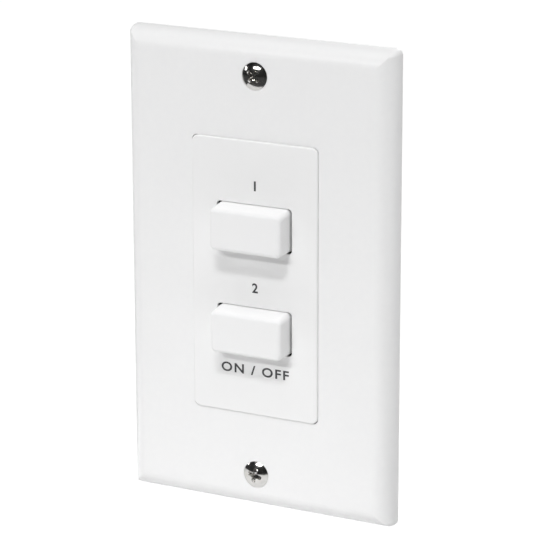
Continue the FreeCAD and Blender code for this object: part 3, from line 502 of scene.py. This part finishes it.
def oval_head(radius, dome, rim, cone, shank):
    """Profile (radius, y) of an oval head whose widest edge starts at y = 0."""
    sphere = (radius**2 + dome**2) / (2.0 * dome)
    profile = []
    for step in range(1, DOME_STEPS + 1):
        reach = radius * step / DOME_STEPS
        profile.append((reach, sphere - dome - math.sqrt(sphere**2 - reach**2)))
    return [*profile, (radius, rim), (shank, rim + cone)]


def pan_head(radius, height, edge, shank):
    """Profile (radius, y) of a pan head that bears at y = 0."""
    profile = [(radius * 0.3, -height), (radius - edge, -height + PAN_CROWN * 0.4)]
    for step in range(1, PAN_STEPS + 1):
        angle = math.radians(90.0 / PAN_STEPS * step)
        reach = radius - edge * (1.0 - math.sin(angle))
        drop = PAN_CROWN + (edge - PAN_CROWN) * (1.0 - math.cos(angle))
        profile.append((reach, -height + drop))
    return [*profile, (radius, 0.0), (shank, 0.0)]


def cross_cutter(face_y, span, width, depth, turn):
    """A tapering cross, for a driver recess whose wings narrow towards a blunt point."""
    levels = (  # depth below the face, span across the wings, width of a wing
        (-CUTTER_RISE, span + CUTTER_RISE / 2.0, width * 1.05),
        (0.0, span, width),
        (depth * 0.8, span - depth * 0.8, width * 0.85),
        (depth, (span - depth) * 0.45, width * 0.6),
    )
    rings = []
    for drop, reach, wide in levels:
        half, tip = wide / 2.0, reach / 2.0
        corner = max(half * 1.15, 0.05)
        wing = (
            (tip - half * 0.4, -half),
            (tip, -half * 0.5),
            (tip, half * 0.5),
            (tip - half * 0.4, half),
            (corner, corner),
        )
        ring = []
        for quarter in range(4):
            angle = math.radians(90.0 * quarter + turn)
            for along, across in wing:
                x = along * math.cos(angle) - across * math.sin(angle)
                z = along * math.sin(angle) + across * math.cos(angle)
                ring.append((x, face_y + drop, z))
        rings.append(ring)
    bm = bmesh.new()
    add_skin(bm, rings)
    return to_mesh(bm, "cross_cutter")


def screw_mesh(name, profile, length, pitch, thread_depth, cutter):
    """A turned head over a threaded shank, with a driver recess and softened edges."""
    major, under_head = profile[-1]
    root = major - thread_depth
    end = under_head + length
    rings = [circle(reach, y) for reach, y in profile]
    chamfer = thread_depth
    count = round((length - chamfer) / pitch * THREAD_STEPS)
    for level in range(1, count + 1):
        y = under_head + (length - chamfer) * level / count
        radius = thread_radius(y, under_head, end - chamfer, major, thread_depth, pitch)
        rings.append(circle(radius, y))
    rings.append(circle(root * THREAD_TIP, end))
    bm = bmesh.new()
    add_skin(bm, rings)
    mesh = carve(to_mesh(bm, name), cutter)
    bm = bmesh.new()
    bm.from_mesh(mesh)
    top = profile[0][1]
    head_edges = [
        edge
        for edge in bm.edges
        if len(edge.link_faces) == 2
        and max(vert.co.y for vert in edge.verts) < top + RECESS_EDGE_REACH
        and edge.calc_face_angle() > math.radians(RECESS_EDGE_ANGLE)
    ]
    bmesh.ops.bevel(
        bm, geom=head_edges, offset=RECESS_EDGE, segments=2, profile=0.5, affect="EDGES"
    )
    bm.to_mesh(mesh)
    bm.free()
    return mesh


PLATE_SCREW_DOME = 1.0
PLATE_SCREW_RIM = 0.05
PLATE_SCREW_CONE = 1.5
PLATE_SCREW_RADIUS = 1.75
PLATE_SCREW_PITCH = 0.794
PLATE_SCREW_THREAD = 0.36
PLATE_CROSS_SPAN = 3.9
PLATE_CROSS_WIDTH = 0.95
PLATE_CROSS_DEPTH = 1.7
PLATE_SCREW_TURNS = {"upper": 40.0, "lower": 14.0}


def add_plate_screws():
    low, high = box_mm("plate_screws")
    head_radius = high.x
    screw_z = {"upper": high.z - head_radius, "lower": low.z + head_radius}
    face = low.y + PLATE_SCREW_DOME
    length = high.y - face - PLATE_SCREW_RIM - PLATE_SCREW_CONE
    profile = oval_head(
        head_radius, PLATE_SCREW_DOME, PLATE_SCREW_RIM, PLATE_SCREW_CONE, PLATE_SCREW_RADIUS
    )
    bm = bmesh.new()
    for row in ROWS:
        cutter = cross_cutter(
            -PLATE_SCREW_DOME,
            PLATE_CROSS_SPAN,
            PLATE_CROSS_WIDTH,
            PLATE_CROSS_DEPTH,
            -PLATE_SCREW_TURNS[row],
        )
        screw = screw_mesh(
            "plate_screw", profile, length, PLATE_SCREW_PITCH, PLATE_SCREW_THREAD, cutter
        )
        screw.transform(Matrix.Translation((0.0, face, screw_z[row])))
        bm.from_mesh(screw)
    mesh = to_mesh(bm, "oval_head_screws")
    add_piece("oval_head_screws", mesh, "nickel_plate", ["plate_screws"])


SMALL_HEAD_RADIUS = 2.3
SMALL_HEAD_HEIGHT = 1.5
SMALL_HEAD_EDGE = 0.75
SMALL_SCREW_RADIUS = 1.15
SMALL_SCREW_PITCH = 0.8
SMALL_SCREW_THREAD = 0.28
SMALL_CROSS_SPAN = 2.7
SMALL_CROSS_WIDTH = 0.6
SMALL_CROSS_DEPTH = 1.0
SMALL_CROSS_TURNS = (17.0, 118.0, 219.0, 320.0)  # degrees; where each screw happens to stop


def add_small_screws(node):
    """Four pan-head screws whose heads face the back."""
    low, high = box_mm(node)
    under_head = high.y - SMALL_HEAD_HEIGHT
    profile = pan_head(
        SMALL_HEAD_RADIUS, SMALL_HEAD_HEIGHT, SMALL_HEAD_EDGE, SMALL_SCREW_RADIUS
    )
    cutter = cross_cutter(
        -SMALL_HEAD_HEIGHT, SMALL_CROSS_SPAN, SMALL_CROSS_WIDTH, SMALL_CROSS_DEPTH, 0.0
    )
    length = under_head - low.y
    screw = screw_mesh(node, profile, length, SMALL_SCREW_PITCH, SMALL_SCREW_THREAD, cutter)
    places = []
    for index, turn in enumerate(SMALL_CROSS_TURNS):
        x = (high.x - SMALL_HEAD_RADIUS) * (1 if index % 2 else -1)
        z = (high.z - SMALL_HEAD_RADIUS) * (1 if index // 2 else -1)
        place = Matrix.Translation((x, under_head, z)) @ Matrix.Rotation(math.pi, 4, "Z")
        places.append(place @ Matrix.Rotation(math.radians(turn), 4, "Y"))
    add_piece(f"{node}.threaded", copies(screw, places), "zinc_screw", [node])


# ---- return springs ----
SPRING_WIRE = 0.5
SPRING_TURNS = 7.0
SPRING_STEPS = 28  # along each turn
WIRE_SIDES = 10


def spring_height(turns):
    """How far along the spring the wire is after some turns; the first and last turn lie closed."""
    free = SPRING_TURNS - 2.0
    return min(turns, 1.0), min(max(turns - 1.0, 0.0), free) / free, max(turns - 1.0 - free, 0.0)


def add_spring(row):
    node = f"{row}_return_spring"
    low, high = box_mm(node)
    wire = SPRING_WIRE / 2.0
    coil = (high.x - low.x) / 2.0 - wire
    centre_z = (low.z + high.z) / 2.0
    start = low.y + wire
    open_length = high.y - low.y - SPRING_WIRE - 2.0 * SPRING_WIRE
    rings = []
    for step in range(round(SPRING_TURNS * SPRING_STEPS) + 1):
        turns = step / SPRING_STEPS
        first, middle_part, last = spring_height(turns)
        y = start + (first + last) * SPRING_WIRE + middle_part * open_length
        angle = math.tau * turns
        ring = []
        for side in range(WIRE_SIDES):
            around = math.tau * side / WIRE_SIDES
            reach = coil + wire * math.cos(around)
            ring.append(
                (
                    reach * math.sin(angle),
                    y + wire * math.sin(around),
                    centre_z + reach * math.cos(angle),
                )
            )
        rings.append(ring)
    bm = bmesh.new()
    add_skin(bm, rings)
    mesh = to_mesh(bm, f"{row}_coil_spring")
    spring = add_piece(mesh.name, mesh, "spring_steel", [node])
    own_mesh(spring)


# ---- circuit board: copper tracks, solder joints and print ----
BOARD_FRONT_Y, BOARD_REAR_Y = (corner.y for corner in box_mm("circuit_board"))
BLADE_WIDTH = 2.1
BLADE_THICKNESS = 0.4
STRIP_WIDTH = 2.0
TERMINAL_WAYS = 4
TRACK_WIDTH = 1.2
TRACK_THICKNESS = 0.035
PRINT_WIDTH = 0.18
PRINT_THICKNESS = 0.02
BUS_X = 4.6
SOLDER_AROUND = 24  # points round every solder joint


def way(block, index):
    """Where pin 0 to 3 of a terminal block, counted upwards, passes through the board."""
    low, high = box_mm(f"{block}_terminal_pins")
    pitch = (high.z - low.z - STRIP_WIDTH) / (TERMINAL_WAYS - 1)
    return middle(f"{block}_terminal_block").x, low.z + STRIP_WIDTH / 2.0 + index * pitch


def tail(row, side, pole):
    """Where a switch contact passes through the board; side and pole are -1 or 1."""
    low, high = box_mm(f"{row}_fixed_contacts")
    half = (high.z - low.z - BLADE_THICKNESS) / 2.0
    return side * (high.x - BLADE_WIDTH / 2.0), (low.z + high.z) / 2.0 + pole * half


def add_strip(bm, points, width, y, thickness):
    """A flat strip of even width along points in (x, z), from y to y + thickness."""
    spots = [Vector(point) for point in points]
    rings = []
    for index, spot in enumerate(spots):
        before = (spot - spots[index - 1]).normalized() if index else None
        after = (spots[index + 1] - spot).normalized() if index + 1 < len(spots) else None
        along = ((before or after) + (after or before)).normalized()
        side = Vector((-along.y, along.x)) * (width / 2.0)
        side /= max(0.5, along.dot(before or after))
        a, b = spot + side, spot - side
        top = y + thickness
        rings.append([(a.x, y, a.y), (b.x, y, b.y), (b.x, top, b.y), (a.x, top, a.y)])
    add_skin(bm, rings)


def rear_tracks():
    """Routes in (x, z): the bus to both switches, and the switched wires to their terminals."""
    return [
        [way("input", 3), (BUS_X + 1.4, 7.62), (BUS_X, 6.22)],
        [
            tail("upper", -1, 1),
            (0.1, 15.0),
            (BUS_X - 1.4, 15.0),
            (BUS_X, 13.6),
            (BUS_X, -8.6),
            (BUS_X - 1.4, -10.0),
            (0.1, -10.0),
            tail("lower", -1, 1),
        ],
        [tail("upper", 1, 1), (1.55, 19.4), (0.2, 20.8), (-9.6, 20.8), way("first_pair", 3)],
        [tail("upper", 1, -1), (0.3, 10.0), (-9.6, 10.0), way("first_pair", 1)],
        [tail("lower", 1, 1), (1.55, -5.4), (0.2, -4.0), (-9.6, -4.0), way("second_pair", 3)],
        [tail("lower", 1, -1), (0.3, -15.0), (-9.6, -15.0), way("second_pair", 1)],
        [
            way("input", 0),
            (7.6, -7.62),
            (6.6, -8.6),
            (6.6, -20.0),
            (5.2, -21.4),
            (-9.6, -21.4),
            way("second_pair", 0),
        ],
    ]


def front_tracks():
    """Routes in (x, z): the other wires, which pass in front of the rear tracks."""
    return [
        [
            way("input", 1),
            (9.6, -2.54),
            (8.6, -3.54),
            (8.6, -18.4),
            (7.2, -19.8),
            (0.2, -19.8),
            tail("lower", -1, -1),
        ],
        [(8.6, -3.54), (8.6, 4.2), (7.2, 5.6), (0.2, 5.6), tail("upper", -1, -1)],
        [
            way("input", 2),
            (10.4, 4.9),
            (10.4, 19.6),
            (9.0, 21.0),
            (-7.0, 21.0),
            (-8.4, 19.6),
            (-8.4, -6.8),
            way("second_pair", 2),
        ],
        [(-8.4, 15.0), way("first_pair", 2)],
    ]


def add_tracks():
    bm = bmesh.new()
    for points in rear_tracks():
        add_strip(bm, points, TRACK_WIDTH, BOARD_REAR_Y, TRACK_THICKNESS)
    for points in front_tracks():
        add_strip(bm, points, TRACK_WIDTH, BOARD_FRONT_Y, -TRACK_THICKNESS)
    mesh = to_mesh(bm, "board_tracks")
    add_piece("board_tracks", mesh, "covered_copper")


SOLDER_PROFILE = (
    (0.98, 0.0),
    (0.98, 0.05),
    (0.84, 0.1),
    (0.68, 0.22),
    (0.58, 0.42),
    (0.54, 0.66),
    (0.5, 0.78),
    (0.3, 0.86),
)


def add_solder_joints():
    """A pad and a cone of solder round each pin: terminals on the front, switches on the back."""
    bm = bmesh.new()
    ways = [way(block, index) for block in BLOCKS for index in range(TERMINAL_WAYS)]
    tails = [tail(row, side, pole) for row in ROWS for side in (-1, 1) for pole in (-1, 1)]
    joints = [(spot, BOARD_FRONT_Y, -1) for spot in ways]
    joints += [(spot, BOARD_REAR_Y, 1) for spot in tails]
    for (x, z), face, outward in joints:
        rings = [
            circle(reach, face + outward * rise, x, z, SOLDER_AROUND)
            for reach, rise in SOLDER_PROFILE
        ]
        add_skin(bm, rings)
    mesh = to_mesh(bm, "solder_joints")
    add_piece("solder_joints", mesh, "solder")


TEXT_STEPS = 6  # along each curve of a character
TEXT_EXTRUDE = 0.5  # in type units; text_mesh() gives the real thickness
TEXT_MERGE = 0.0005


def text_mesh(name, text, height, thickness, weight, spacing=1.0, stretch=1.0):
    """Flat characters that read from -y, centred on the origin and standing on y = 0."""
    curve = bpy.data.curves.new(name, "FONT")
    curve.body = text
    curve.space_character = spacing
    curve.resolution_u = TEXT_STEPS
    curve.extrude = TEXT_EXTRUDE
    curve.offset = weight
    source = bpy.data.objects.new(name, curve)
    bpy.context.scene.collection.objects.link(source)
    bpy.context.view_layer.update()
    mesh = bpy.data.meshes.new_from_object(source)
    bpy.data.objects.remove(source)
    bpy.data.curves.remove(curve)
    low = Vector(min(vert.co[axis] for vert in mesh.vertices) for axis in range(3))
    high = Vector(max(vert.co[axis] for vert in mesh.vertices) for axis in range(3))
    centre = (low + high) / 2.0
    scale = height / (high.y - low.y)
    for vert in mesh.vertices:
        flat = (vert.co - centre) * scale
        vert.co = (flat.x * stretch, -thickness if vert.co.z > centre.z else 0.0, flat.y)
    bm = bmesh.new()
    bm.from_mesh(mesh)
    bmesh.ops.remove_doubles(bm, verts=bm.verts, dist=TEXT_MERGE)
    bmesh.ops.recalc_face_normals(bm, faces=bm.faces)
    bm.to_mesh(mesh)
    bm.free()
    return mesh


NUMBER_HEIGHT = 1.5
NUMBER_WEIGHT = 0.012
NUMBER_GAP = 1.0  # from the printed line to the middle of a number
PRINT_LINE_GAP = 0.4  # from the block's side to the line
PRINT_END_GAP = 0.2


def add_board_print():
    """White print on the back of the board: a line beside each terminal block and way numbers."""
    bm = bmesh.new()
    numbers = [
        text_mesh("number", str(index + 1), NUMBER_HEIGHT, PRINT_THICKNESS, NUMBER_WEIGHT)
        for index in range(TERMINAL_WAYS)
    ]
    facing_back = Matrix.Rotation(math.pi, 4, "Z")
    for block in BLOCKS:
        low, high = box_mm(f"{block}_terminal_block")
        side = 1 if low.x > 0 else -1
        edge = side * (min(abs(low.x), abs(high.x)) - PRINT_LINE_GAP)
        ends = [(edge, low.z + PRINT_END_GAP), (edge, high.z - PRINT_END_GAP)]
        add_strip(bm, ends, PRINT_WIDTH, BOARD_REAR_Y, PRINT_THICKNESS)
        for index, mesh in enumerate(numbers):
            x, z = edge - side * NUMBER_GAP, way(block, index)[1]
            copy = mesh.copy()
            copy.transform(Matrix.Translation((x, BOARD_REAR_Y, z)) @ facing_back)
            bm.from_mesh(copy)
    mesh = to_mesh(bm, "board_print")
    add_piece("board_print", mesh, "board_ink")


# ---- printed labels on the insert ----
INK_THICKNESS = 0.02
LETTER_HEIGHT = 2.35
LETTER_WEIGHT = 0.02
LETTER_SPACING = 1.2
LABELS = (  # name, text, x, z, how much wider than the plain type
    ("label_one", "1", 0.25, 22.6, 1.1),
    ("label_two", "2", 0.17, -1.97, 1.0),
    ("label_on_off", "ON / OFF", 0.1, -22.25, 1.16),
)


def add_labels():
    face = box_mm("insert_bezel")[0].y
    for name, text, x, z, stretch in LABELS:
        mesh = text_mesh(
            name, text, LETTER_HEIGHT, INK_THICKNESS, LETTER_WEIGHT, LETTER_SPACING, stretch
        )
        mesh.transform(Matrix.Translation((x, face, z)))
        add_piece(name, mesh, "label_ink")


# ---- stage: floor, background, bounce card and dark surroundings ----
FLOOR_Z = -700.0  # low enough for views from beneath
BOUNCE_FLOOR_Z = -160.0  # where light bounces back at the object
FLOOR_HALF = 6000.0
FLOOR_COLOR = 0.8
FLOOR_GLOW = 0.85
FLOOR_FADE = (0.75, 1.2)  # metres from the object, where the floor turns to the background's white
AMBIENT = 0.03
BOUNCE_Z = -62.5
BOUNCE_REACH = (20.0, -75.0)
BOUNCE_HALF = 150.0
BOUNCE_COLOR = 0.8
ROOM_RADIUS = 1700.0
ROOM_TOP = 3200.0
ROOM_AZIMUTHS = (-150.0, 70.0)
ROOM_START = 60.0
ROOM_FLOOR = -155.0
ROOM_STEPS = 24
ROOM_COLOR = 0.06
MATT_ROUGHNESS = 0.9


def stage_mesh(name, points, faces, material, seen_by):
    """A stage object that only the named kinds of ray meet."""
    mesh = bpy.data.meshes.new(name)
    mesh.from_pydata([Vector(point) * MM for point in points], [], faces)
    mesh.materials.append(material)
    piece = bpy.data.objects.new(name, mesh)
    for kind in ("camera", "diffuse", "glossy", "transmission", "shadow"):
        setattr(piece, f"visible_{kind}", kind in seen_by)
    bpy.context.scene.collection.objects.link(piece)


def matt(name, level):
    material = bpy.data.materials.new(name)
    material.use_nodes = True
    main = material.node_tree.nodes["Principled BSDF"]
    main.inputs["Base Color"].default_value = (level, level, level, 1.0)
    main.inputs["Roughness"].default_value = MATT_ROUGHNESS
    main.inputs["Specular IOR Level"].default_value = 0.0
    return material


def seen_directly(tree):
    """1 for camera, mirror and glass rays, and 0 for the rest."""
    path = tree.nodes.new("ShaderNodeLightPath")
    seen = path.outputs["Is Camera Ray"]
    for name in ("Is Glossy Ray", "Is Transmission Ray"):
        either = tree.nodes.new("ShaderNodeMath")
        either.operation = "MAXIMUM"
        tree.links.new(seen, either.inputs[0])
        tree.links.new(path.outputs[name], either.inputs[1])
        seen = either.outputs["Value"]
    return seen


def add_floor():
    material = matt("floor_white", FLOOR_COLOR)
    tree = material.node_tree
    reach = tree.nodes.new("ShaderNodeVectorMath")
    reach.operation = "LENGTH"
    tree.links.new(tree.nodes.new("ShaderNodeTexCoord").outputs["Object"], reach.inputs[0])
    level = tree.nodes.new("ShaderNodeMath")
    level.operation = "MULTIPLY"
    tree.links.new(seen_directly(tree), level.inputs[0])
    faded = between(tree, reach.outputs["Value"], FLOOR_GLOW, 1.0, *FLOOR_FADE)
    tree.links.new(faded, level.inputs[1])
    glow = tree.nodes.new("ShaderNodeEmission")
    tree.links.new(level.outputs["Value"], glow.inputs["Strength"])
    both = tree.nodes.new("ShaderNodeAddShader")
    tree.links.new(tree.nodes["Principled BSDF"].outputs["BSDF"], both.inputs[0])
    tree.links.new(glow.outputs["Emission"], both.inputs[1])
    tree.links.new(both.outputs["Shader"], tree.nodes["Material Output"].inputs["Surface"])
    half = FLOOR_HALF
    corners = [(-half, -half), (half, -half), (half, half), (-half, half)]
    floors = (
        ("floor", FLOOR_Z, ("camera", "transmission", "shadow")),
        ("bounce_floor", BOUNCE_FLOOR_Z, ("diffuse", "glossy")),
    )
    for name, z, seen_by in floors:
        stage_mesh(name, [(x, y, z) for x, y in corners], [(0, 1, 2, 3)], material, seen_by)


def add_bounce_card():
    """A white card just under the plate that lifts the light on its lower half."""
    rear, front = BOUNCE_REACH
    half = BOUNCE_HALF
    corners = [(-half, front), (half, front), (half, rear), (-half, rear)]
    points = [(x, y, BOUNCE_Z) for x, y in corners]
    material = matt("card_white", BOUNCE_COLOR)
    stage_mesh("bounce_card", points, [(0, 1, 2, 3)], material, ("diffuse", "glossy"))


def add_dark_room():
    """Dark floor and wall round the object, met by mirror rays only: they give metal its contrast."""
    first, last = ROOM_AZIMUTHS
    rows = ((ROOM_START, ROOM_FLOOR), (ROOM_RADIUS, ROOM_FLOOR), (ROOM_RADIUS, ROOM_TOP))
    points = []
    for step in range(ROOM_STEPS + 1):
        level = direction(first + (last - first) * step / ROOM_STEPS, 0.0)
        points += [(level.x * reach, level.y * reach, z) for reach, z in rows]
    faces = []
    for step in range(ROOM_STEPS):
        for row in range(len(rows) - 1):
            start = step * len(rows) + row
            faces.append((start, start + 1, start + len(rows) + 1, start + len(rows)))
    stage_mesh("dark_room", points, faces, matt("room_dark", ROOM_COLOR), ("glossy",))


def add_world():
    world = bpy.data.worlds.new("world")
    bpy.context.scene.world = world
    world.use_nodes = True
    tree = world.node_tree
    background = tree.nodes["Background"]
    background.inputs["Color"].default_value = (1.0, 1.0, 1.0, 1.0)
    tree.links.new(between(tree, seen_directly(tree), AMBIENT, 1.0), background.inputs["Strength"])


# ---- light ----
LAMPS = {  # azimuth and elevation; distance, width and height in metres; power in watts
    "low_softbox": (-10.0, 31.0, 1.2, 0.6, 0.07, 3.9),
    "high_softbox": (12.0, 55.0, 1.2, 0.35, 0.12, 6.5),
    "left_lamp": (-71.0, 14.0, 1.2, 0.2, 0.2, 0.65),
    "top_lamp": (0.0, 76.0, 1.0, 1.0, 0.5, 2.2),
    "left_rim_lamp": (-104.0, 12.0, 1.2, 0.3, 0.5, 6.5),
    "right_lamp": (100.0, 20.0, 1.2, 0.8, 0.8, 3.5),
    "rear_lamp": (180.0, 35.0, 1.2, 0.3, 0.3, 2.0),
    "rear_fill": (180.0, -5.0, 1.2, 0.3, 0.6, 0.5),
    "table_lamp": (0.0, -65.0, 0.085, 0.3, 0.05, 0.058),
}
NOT_MIRRORED = ("table_lamp", "high_softbox", "top_lamp", "left_rim_lamp", "right_lamp")
SPOT_PLACE = (-10.0, 33.0, 1.2)  # azimuth, elevation and distance in metres
SPOT_TARGET = (0.0, 0.0, -0.09)  # metres
SPOT_RADIUS = 0.05  # metres
SPOT_CONE = 10.0
SPOT_POWER = 8.0


def add_light(name, kind, place, target, power, **settings):
    data = bpy.data.lights.new(name, kind)
    data.energy = power
    for key, value in settings.items():
        setattr(data, key, value)
    lamp = bpy.data.objects.new(name, data)
    lamp.location = place
    lamp.rotation_euler = (place - Vector(target)).to_track_quat("Z", "Y").to_euler()
    lamp.visible_glossy = name not in NOT_MIRRORED
    bpy.context.scene.collection.objects.link(lamp)


def add_lamps():
    for name, (azimuth, elevation, distance, width, height, power) in LAMPS.items():
        place = direction(azimuth, elevation) * distance
        shape = {"shape": "RECTANGLE", "size": width, "size_y": height}
        add_light(name, "AREA", place, (0.0, 0.0, 0.0), power, **shape)


def add_spot():
    """A snooted lamp beside the low softbox that lifts the lower half of the plate."""
    azimuth, elevation, distance = SPOT_PLACE
    place = direction(azimuth, elevation) * distance
    beam = {
        "spot_size": math.radians(SPOT_CONE),
        "spot_blend": 1.0,
        "shadow_soft_size": SPOT_RADIUS,
    }
    add_light("lower_spot", "SPOT", place, SPOT_TARGET, SPOT_POWER, **beam)


# ---- the scene ----
paint_nodes()
for edged_node, edge_width in SOFT_EDGES.items():
    soften(edged_node, edge_width)
add_plate_screws()
add_small_screws("board_screws")
add_small_screws("strap_screws")
for button_row in ROWS:
    add_spring(button_row)
add_tracks()
add_solder_joints()
add_board_print()
add_labels()
add_floor()
add_bounce_card()
add_dark_room()
add_world()
add_lamps()
add_spot()
add_camera()
